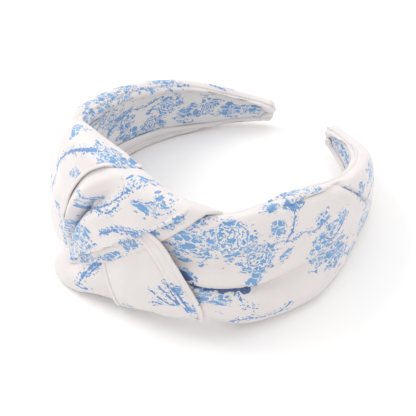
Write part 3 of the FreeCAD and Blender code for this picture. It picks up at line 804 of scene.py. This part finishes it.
# Each row crosses the puff from behind its bulging left side, over its ridge, to the under panel.
PUFF_ROWS = (
    ((-19.5, -14.5, 3.4), (-17, -14.5, 5.0), (-13.8, -14.2, 6.2), (-9, -11.5, 6.3), (-3, -7, 6.2),
     (3, -3, 5.8), (8, -2, 5.8)),
    ((-22, -17.5, 3.0), (-19.2, -17.4, 6.0), (-13.4, -18.3, 7.0), (-8.3, -15.6, 7.0), (-3.5, -13, 6.4),
     (1.5, -10.4, 5.9), (7, -9, 5.4)),
    ((-24, -20.5, 2.8), (-21.8, -21, 7.4), (-13, -21.2, 8.9), (-8.3, -20.5, 9.2), (-3.5, -19, 8.4),
     (2, -16.5, 7.1), (8, -15, 5.9)),
    ((-25.5, -21.5, 2.4), (-23.6, -25, 7.8), (-14.6, -24.6, 9.7), (-9.6, -24.8, 9.5), (-4.5, -23.5, 8.5),
     (1.5, -21, 7.0), (10, -19.6, 5.3)),
    ((-26.5, -22.0, 2.0), (-24.6, -27.6, 7.0), (-18.2, -27.9, 9.0), (-13.3, -28.4, 9.1),
     (-7.5, -27.8, 7.9), (-0.8, -25, 6.3), (11, -22.2, 4.4)),
    ((-26.5, -22.2, 1.0), (-24.4, -29, 5.8), (-20.5, -29.2, 8.0), (-15, -29.9, 8.1), (-9.3, -29.4, 6.9),
     (-2.5, -26.8, 5.4), (12, -24, 3.0)),
    ((-26, -22, 0.0), (-24.0, -28.6, 3.8), (-20.5, -29.4, 6.0), (-15.5, -29.9, 6.0), (-9.5, -29.4, 4.6),
     (-2.5, -27, 3.2), (12.5, -24.8, 1.2)),
    ((-25, -21.4, -1.5), (-22.6, -27, 0.8), (-19.5, -28.2, 1.5), (-15, -28, 1.0), (-9, -27, 0.0),
     (-2.5, -25.8, -0.5), (13, -24.8, -1.4)),
    ((-24, -19.5, -3.0), (-21.4, -23.6, -3.6), (-18, -25.2, -4.3), (-14, -24.8, -4.6), (-8, -24, -4.6),
     (-2, -23.6, -4.4), (12, -22.6, -4.0)),
    ((-23, -16, -3.2), (-20, -16.6, -3.6), (-17, -17, -3.6), (-13, -17, -3.4), (-8, -17, -3.4),
     (-2, -17, -3.4), (12, -16.5, -3.0)),
)


def puff():
    """Puff of gathered satin below the pinch, bulging round on its left."""
    places = patch(PUFF_ROWS, 110, 90)
    cloth = unrolled(places, -1)
    points = at(places)
    points = crumple(points, cloth, 0.5, 10.0, (1.0, 1.4), 41.0)
    points = crumple(points, cloth, 0.10, 3.5, (0.8, 1.2), 8.5)
    return cloth_piece("puff_cloth", points, cloth, ((), PUFF_TWIGS))


FILLER_ENDS = (-6, 26)


def filler():
    """Inner plies of the two strips, gathered under the wrap."""
    s, share = np.meshgrid(np.linspace(*FILLER_ENDS, 60), np.linspace(0, 1, 50))
    low = np.interp(s, FILLER_ENDS, (-6.0, 14.0))
    high = np.interp(s, FILLER_ENDS, (20.0, 23.0))
    a = low + (high - low) * share
    off = 6.3 + 0.35 * np.sin(s * 1.1 + 2 * share) + 0.6 * np.sin(share * math.pi)
    return cloth_piece("knot_filler_plies", at(np.stack([s, a, off], -1)), np.stack([s, a], -1))


# ---- inside and inner face --------------------------------------------------------------------
LINING_OFF = -2.05
LINING_END = HALF_LENGTH - 2.5
CORE_END = HALF_LENGTH - 3.0
LAYER_END = HALF_LENGTH - 7.0
# Piece, CAD node and slot of each layer, its inner and outer offset, share of the band's height and end.
LAYERS = (
    ("core", "band_core", "band_plastic", -1.0, 1.0, 0.84, CORE_END, PLASTIC),
    ("lining_glue", "lining_glue", "adhesive_film", -1.26, -1.06, 0.70, LAYER_END, GLUE),
    ("cover_tape", "cover_tape", "adhesive_film", 1.06, 1.26, 0.78, LAYER_END, GLUE),
    ("padding", "padding", "wadding", 1.32, 2.92, 0.78, LAYER_END, WADDING),
)
LAYER_TURNS = 32      # points round a layer's section


def lining(side):
    """Half of the printed lining, from the crown to one tip, its edges under the covers' lips."""
    s, share = np.meshgrid(np.linspace(0, side * LINING_END, 170), np.linspace(0, 1, 46), indexing="ij")
    half = half_height(s)
    lower, upper = lip_widths(s)
    bottom = -half + lower - 1.6
    top = half - upper + 1.3
    a = bottom + (top - bottom) * share
    sag = 0.25 * np.sin(share * math.pi)
    points = at(np.stack([s, a, LINING_OFF + sag], -1))
    cloth = np.stack([s, a], -1)
    points = crumple(points, cloth, 0.3, 14.0, (1.5, 1.0), 51.0 + side)
    motifs = (LINING_BLOOMS, LINING_TWIGS, LINING_ROSES)
    return cloth_piece("lining_" + SIDE_NAMES[side], points, cloth, motifs, side > 0, LINING_FABRIC, LINING)


def layer(name, side, inner, outer, share, end, material):
    """Half of one of the layers inside the band: a strip with rounded edges."""
    turns = np.linspace(0, 2 * math.pi, LAYER_TURNS + 1)[:-1]
    s = np.linspace(0, side * end, 120)
    half = half_height(s) * share
    middle = (inner + outer) / 2
    thick = (outer - inner) / 2
    a = half[:, None] * np.sign(np.sin(turns)) * np.abs(np.sin(turns)) ** 0.3
    off = middle + thick * np.sign(np.cos(turns)) * np.abs(np.cos(turns)) ** 0.6
    places = np.stack([s[:, None] + 0 * a, a, off + 0 * a], -1)
    places = np.concatenate([places, places[:, :1]], axis=1)
    first, last = (row * (1, 0, 0) + (0, 0, middle) for row in (places[:1], places[-1:]))
    points = at(np.concatenate([first, places, last]))
    piece = grid_mesh(name, points, np.zeros(points.shape[:2] + (2,)), flip=side > 0)
    weld = piece.modifiers.new("weld", "WELD")
    weld.merge_threshold = 0.00001
    apply_modifiers(piece)
    dress(piece, material)
    return piece


TAB_SHARE = 0.66      # of the tip's height
TAB_OFF = 0.45        # offset of the dome's middle
TAB_DEPTH = 2.5
TAB_INSET = 1.2       # the dome starts this far before the tip
TAB_LENGTH = 3.1


def tip_tab(side):
    """Fabric folded shut over one tip: a small dome that fills the rounded end of the cover."""
    bulge, turn = np.meshgrid(np.linspace(0.0005, 1.0, 16), np.linspace(0, 2 * math.pi, 41), indexing="ij")
    width = np.sin(np.arccos(1 - bulge))
    height = float(half_height(TIP_AT)) * TAB_SHARE * width * np.cos(turn)
    off = TAB_OFF + TAB_DEPTH * width * np.sin(turn)
    reach = TIP_AT - TAB_INSET + TAB_LENGTH * (1 - bulge ** 2)
    fold = 0.35 * bump(off, 0.6 + 0.5 * np.sin(height), 0.35)
    points = at(np.stack([side * (reach - fold), height, off], -1))
    cloth = np.stack([side * reach, height], -1)
    return cloth_piece(SIDE_NAMES[side] + "_tip_fold", points, cloth, flip=side > 0)


def bar(start, end, radius=0.2, sides=6, rings=7):
    """Vertices and faces of one stitch between two places, rounded at both ends."""
    start, end = at(np.array([start, end], float))
    axis = (end - start) / np.linalg.norm(end - start)
    flat = np.cross(axis, (0.0, 0.0, 1.0))
    flat = flat / np.linalg.norm(flat)
    upright = np.cross(axis, flat)
    points = []
    for share in np.linspace(0, 1, rings):
        size = radius * MM * max(0.25, math.sin(math.pi * (0.08 + 0.84 * share)) ** 0.4)
        for number in range(sides):
            turn = 2 * math.pi * number / sides
            out = math.cos(turn) * flat + math.sin(turn) * upright
            points.append(start + (end - start) * share + size * out)
    faces = [tuple(range(sides))[::-1], tuple(range((rings - 1) * sides, rings * sides))]
    for first in range(0, (rings - 1) * sides, sides):
        for number in range(sides):
            after = (number + 1) % sides
            faces.append((first + number, first + after, first + sides + after, first + sides + number))
    return points, faces


def stitches(name, pairs):
    """One mesh of many stitches, each from one place to another."""
    points = []
    faces = []
    for start, end in pairs:
        more, rings = bar(start, end)
        faces += [tuple(corner + len(points) for corner in face) for face in rings]
        points += more
    mesh = bpy.data.meshes.new(name)
    mesh.from_pydata([tuple(point) for point in points], [], faces)
    mesh.shade_smooth()
    piece = add_object(name, mesh)
    dress(piece, THREAD)
    return piece


LIP_STITCHES = np.arange(54.0, 182.0, 7.5)


def lip_stitches(side):
    """Hand stitches that hold both lips down on the lining of one side."""
    pairs = []
    for s in LIP_STITCHES:
        half = half_height(s)
        lower, upper = lip_widths(s)
        depth = lip_depth(s)
        for edge, way in ((-half + lower, 1), (half - upper, -1)):
            start = (side * s, edge - way * 0.9, depth - 0.05)
            end = (side * (s + 0.7), edge + way * 0.7, LINING_OFF - 0.1)
            pairs.append((start, end))
    return stitches(SIDE_NAMES[side] + "_lip_stitches", pairs)


def knot_tacks():
    """Tacks that hold the knot's turned ends on the lining."""
    pairs = [((s, 13.2, -4.2), (s + 0.5, 10.8, -2.3)) for s in np.arange(-33.0, 34.0, 6.0)]
    pairs += [((s, -16.6, -4.2), (s + 0.5, -14.0, -2.3)) for s in np.arange(-15.0, 38.0, 6.0)]
    return stitches("knot_tacks", pairs)


# ---- motifs -----------------------------------------------------------------------------------
LEFT_BLOOMS = (
    (-4, 36, 9, 4.5, 5), (3, 38, 5, 4, 0), (-16, 22, 3.4, 1.8, 20), (-27, 35, 4, 3, 60),
    (-26, 1, 3, 3, 0), (-25, -8, 4, 3, 60), (-21, -12, 4, 4, 0), (-55, -4, 8, 4, 10), (-70, 26, 6, 3, 0),
    (-86, 28, 9, 3, 0), (-104, 26, 8, 3, 0), (-130, 22, 10, 4, 0), (-160, 12, 9, 3, 0),
    (-90, -5, 12, 8, 20), (-120, 3, 14, 7, -10), (-150, 0, 12, 6, 0), (-175, 0, 8, 3, 0),
    (-62, 9, 6, 4, 30), (-64, 33, 7, 3, 0), (-80, 33, 7, 2.6, 0), (-97, 31, 6, 2, 0),
    (-118, 27, 5, 1.5, 0))
LEFT_TWIGS = (
    ((-32, 3), (-33.5, 10), (-30, 19.5), (-24.5, 26), (-16, 32), (-8, 35)),
    ((-33, 15), (-28, 22), (-20, 29), (-12, 33)), ((-84, 0), (-100, 6), (-118, 2)),
    ((-130, -4), (-144, 3), (-160, -1)))
LEFT_ROSES = ((-90, -6, 6.5), (-122, 4, 6.0))
RIGHT_BLOOMS = (
    (36, 14, 8, 8, 0), (47, 15, 9, 7, 0), (59, 7, 7, 6, 0), (57, 0, 3, 3, 30), (66, 17, 3.5, 3.5, 0),
    (71, 4.5, 4, 2, 30), (74, 24, 4, 3, 0), (88, 15, 3.5, 3, 0), (93, 7, 3, 3, 0), (100, 10, 3.5, 3.5, 0),
    (88, 5, 5, 3, 30), (95, -4, 11, 6, -20), (43, -9, 6, 4.5, -20), (76, 29, 7, 2, 0), (86, 27, 5, 2, 0),
    (64, 25, 4, 2.5, 0), (34, 5.5, 2.6, 1.2, 0), (36, -0.4, 4, 1.4, -25), (125, -5, 9, 5, 0),
    (112, -12, 5, 3, 0), (150, 4, 10, 5, 0), (172, 0, 10, 3, 0), (116, 14, 4, 3, 0), (134, 14, 8, 3, 0),
    (60, -33, 9, 3, 0), (95, -32, 9, 3, 0), (130, -24, 9, 3, 0))
RIGHT_TWIGS = (
    ((61, 11), (67, 12), (72, 10.7), (78, 12), (84, 10.4), (90, 13)), ((70, 11), (73, 17), (74, 23)),
    ((50, -21), (54, -17.5), (60, -18), (67, -17.4), (72, -15)), ((51, -7), (53, -11), (57, -13)),
    ((86, 15), (91, 11), (93, 7)), ((88, 6), (95, 3), (102, 8)), ((120, 4), (134, 8), (150, 2)),
    ((106, 20), (112, 14.5), (118, 8.5), (124, 3)))
# patches of painted shadow inside the slit near the knot, filled dark blue
RIGHT_PAINTED_SHADE = ((45, -5.3, 9, 2.3, -4), (52.5, -5.9, 4.5, 1.1, -10), (35, -1, 3, 1.0, -20))
RIGHT_ROSES = ((48.5, 16.5, 6.0), (59, 6.8, 5.0), (150, 2, 5.0))
WRAP_BLOOMS = (
    (12, 29.5, 5.5, 2.4, 25), (17, 34, 2.6, 1.8, 0), (21, 23.5, 6, 3.0, 15), (24.5, 29.5, 1.8, 1.2, 0),
    (-8, -2, 6.5, 6.5, 30), (-11.5, -11, 3, 4.5, -30), (-7, -8.5, 4, 3, 30), (-9.5, 12, 3.6, 1.8, 50),
    (-4, 16.5, 4.5, 1.6, 35), (-10, 16, 2.2, 1.8, 0), (-15.5, -3, 2, 4, 0), (7, 9.3, 6, 1.4, 30),
    (15, 12, 7, 1.5, 15), (-6, -12, 7, 1.6, 32), (6, -4, 7, 1.6, 35), (14.5, 6.5, 5, 2.2, 35),
    (20, 11.5, 4, 2, 35), (27, 18, 2.5, 2, 30), (31, 22, 2.5, 1.6, 40))
WRAP_TWIGS = (
    ((-13, 3.7), (-6.2, 10), (2, 16.7), (8.6, 24), (11, 27)), ((-2, 13), (4, 15), (8, 20)),
    ((2, 5), (8, 9.5), (14, 11.7), (19, 12.6), (22, 14.2)))
PANEL_BLOOMS = ((36, -14, 4, 2.2, 40), (14.5, -22.8, 2.5, 0.8, 0), (34, -6, 2, 2, 0))
PANEL_TWIGS = (
    ((37, -14.5), (32, -9.6), (29, -4)), ((36.5, -14), (28.6, -13.4), (24, -10.8)),
    ((37, -15), (28.4, -15.6), (25, -16)), ((38, -15), (33.5, -7.4), (30.5, -4.6)),
    ((36, -14), (31, -11), (27, -8)), ((37, -14.5), (31, -14), (26.5, -13)))
PUFF_TWIGS = (
    ((-1, -10.4), (-2.7, -13.9), (-5.2, -19.8), (-6.5, -23.7)), ((-1.6, -10.4), (-3.2, -14), (-5.9, -20)),
    ((2, -8.9), (-0.6, -13.1), (-3.7, -18.6)), ((1.4, -9.4), (-1.2, -13.1)),
    ((-7.7, -24.8), (-5.5, -24.9), (-3, -24.2)))
LINING_BLOOMS = tuple((side * s, *bloom) for side in (-1, 1) for s, *bloom in (
    (12, 2, 10, 7, 0), (34, -4, 9, 6, 20), (54, 6, 9, 6, -20), (70, 14, 7, 5, 0), (84, 17, 8, 4, 0),
    (76, 2, 6, 9, 0), (92, 8, 7, 6, 30), (104, 2, 6, 8, 0), (112, -6, 8, 4, 0), (124, -5, 8, 5, 0),
    (132, 6, 9, 5, 0), (146, -2, 8, 5, 0), (158, 4, 7, 4, 0), (168, -1, 7, 4, 0), (180, 0, 8, 3, 0)))
LINING_TWIGS = tuple(tuple((side * s, a) for s, a in ((88, -2), (100, 10), (116, 8), (128, 12)))
                     for side in (-1, 1))
LINING_ROSES = tuple((side * s, a, radius) for side in (-1, 1) for s, a, radius in (
    (132, 5, 6.0), (123, -4, 5.0), (40, 0, 6.5), (156, 0, 4.5), (84, 14, 5.0)))


# ---- whole object -----------------------------------------------------------------------------
FLOOR_REACH = 2.0     # metres, as everything below
# name, place, size and watts
LAMPS = (("key", (-0.55, -0.15, 0.6), 0.45, 2.3), ("top", (0.0, 0.2, 0.8), 0.5, 1.0))
LIT_POINT = (0, 0, 0.02)
CAMERA_AZIMUTH = math.radians(39.0)
CAMERA_ELEVATION = math.radians(40.1)
CAMERA_TARGET = (0.0150, -0.0226, 0.0231)
CAMERA_DISTANCE = 0.288
CAMERA_ANGLE = math.radians(34.0)


def studio():
    """Pale floor, soft light and the camera."""
    floor = bpy.data.meshes.new("floor")
    corners = [(x * FLOOR_REACH, y * FLOOR_REACH, 0) for x, y in ((-1, -1), (1, -1), (1, 1), (-1, 1))]
    floor.from_pydata(corners, [], [(0, 1, 2, 3)])
    ground = add_object("floor", floor)
    nodes = Nodes("floor")
    place = nodes.add("TexCoord").outputs["Object"]
    mottle = nodes.noise(place, 6.0, 2.0)
    pale = nodes.mix(mottle, (0.93, 0.925, 0.92, 1), (0.94, 0.935, 0.93, 1))
    nodes.surface({"Base Color": pale, "Roughness": 0.9})
    ground.data.materials.append(nodes.material)

    world = bpy.data.worlds.new("studio")
    world.use_nodes = True
    background = world.node_tree.nodes["Background"]
    background.inputs["Color"].default_value = (1, 0.995, 0.99, 1)
    background.inputs["Strength"].default_value = 0.97
    bpy.context.scene.world = world
    bpy.context.scene.view_settings.view_transform = "Standard"

    for name, place, size, power in LAMPS:
        lamp = bpy.data.lights.new(name, "AREA")
        lamp.energy = power
        lamp.size = size
        light = add_object(name, lamp)
        light.location = place
        light.rotation_mode = "QUATERNION"
        light.rotation_quaternion = (Vector(place) - Vector(LIT_POINT)).to_track_quat("Z", "Y")

    camera = add_object("camera", bpy.data.cameras.new("camera"))
    level = math.cos(CAMERA_ELEVATION)
    back = Vector((math.sin(CAMERA_AZIMUTH) * level, -math.cos(CAMERA_AZIMUTH) * level,
                   math.sin(CAMERA_ELEVATION)))
    camera.location = Vector(CAMERA_TARGET) + back * CAMERA_DISTANCE
    camera.rotation_mode = "QUATERNION"
    camera.rotation_quaternion = back.to_track_quat("Z", "Y")
    camera.data.angle = CAMERA_ANGLE
    camera.data.clip_start = 0.01
    bpy.context.scene.camera = camera


def ride_blend(piece):
    """Bakes the piece's placement into its mesh."""
    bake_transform(piece)


def covers():
    """The two covers, in place of the CAD model's cover parts, which are hidden."""
    for piece, side, flat, nodes in (
            (left_strip(), -1, (0.078, 0.215), ("left_cover_arm", "left_cover_crown", "knot_left_turn")),
            (right_strip(), 1, (0.078, 0.205), ("right_cover_arm", "right_cover_crown"))):
        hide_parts(*nodes)
        ride_blend(piece)


def knot():
    """The knot's sheets ride on the crown."""
    for piece, node, flat, held in (
            (wrap(), "knot_wrap", (0.055, 0.075), "folded"),
            (under_panel(), "knot_under_panel", (0.045, 0.058), "folded"),
            (puff(), "knot_left_puff", (0.034, 0.045), "folded"),
            (filler(), "knot_filler", (0.020, 0.030), "gathered")):
        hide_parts(node)
        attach(piece, "crown")
    tacks = knot_tacks()
    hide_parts("knot_tack_stitches")
    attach(tacks, "crown")


def inside(side):
    """Lining, core, films, wadding, stitches and tip of one half of the band."""
    name = SIDE_NAMES[side]
    bodies = [name + "_arm", "crown"] if side < 0 else [name + "_arm"]
    cloth = lining(side)
    seams = lip_stitches(side)
    pieces = {"lining": cloth, "lining_stitches": seams}
    for prefix, node, slot, inner, outer, share, end, material in LAYERS:
        pieces[node] = layer(prefix + "_" + name, side, inner, outer, share, end, material)
    for node, piece in pieces.items():
        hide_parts(*[node + "_" + body for body in bodies])
        ride_blend(piece)
    tab = tip_tab(side)
    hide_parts(name + "_tip_tab")
    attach(tab, name + "_arm")


studio()
covers()
knot()
inside(-1)
inside(1)
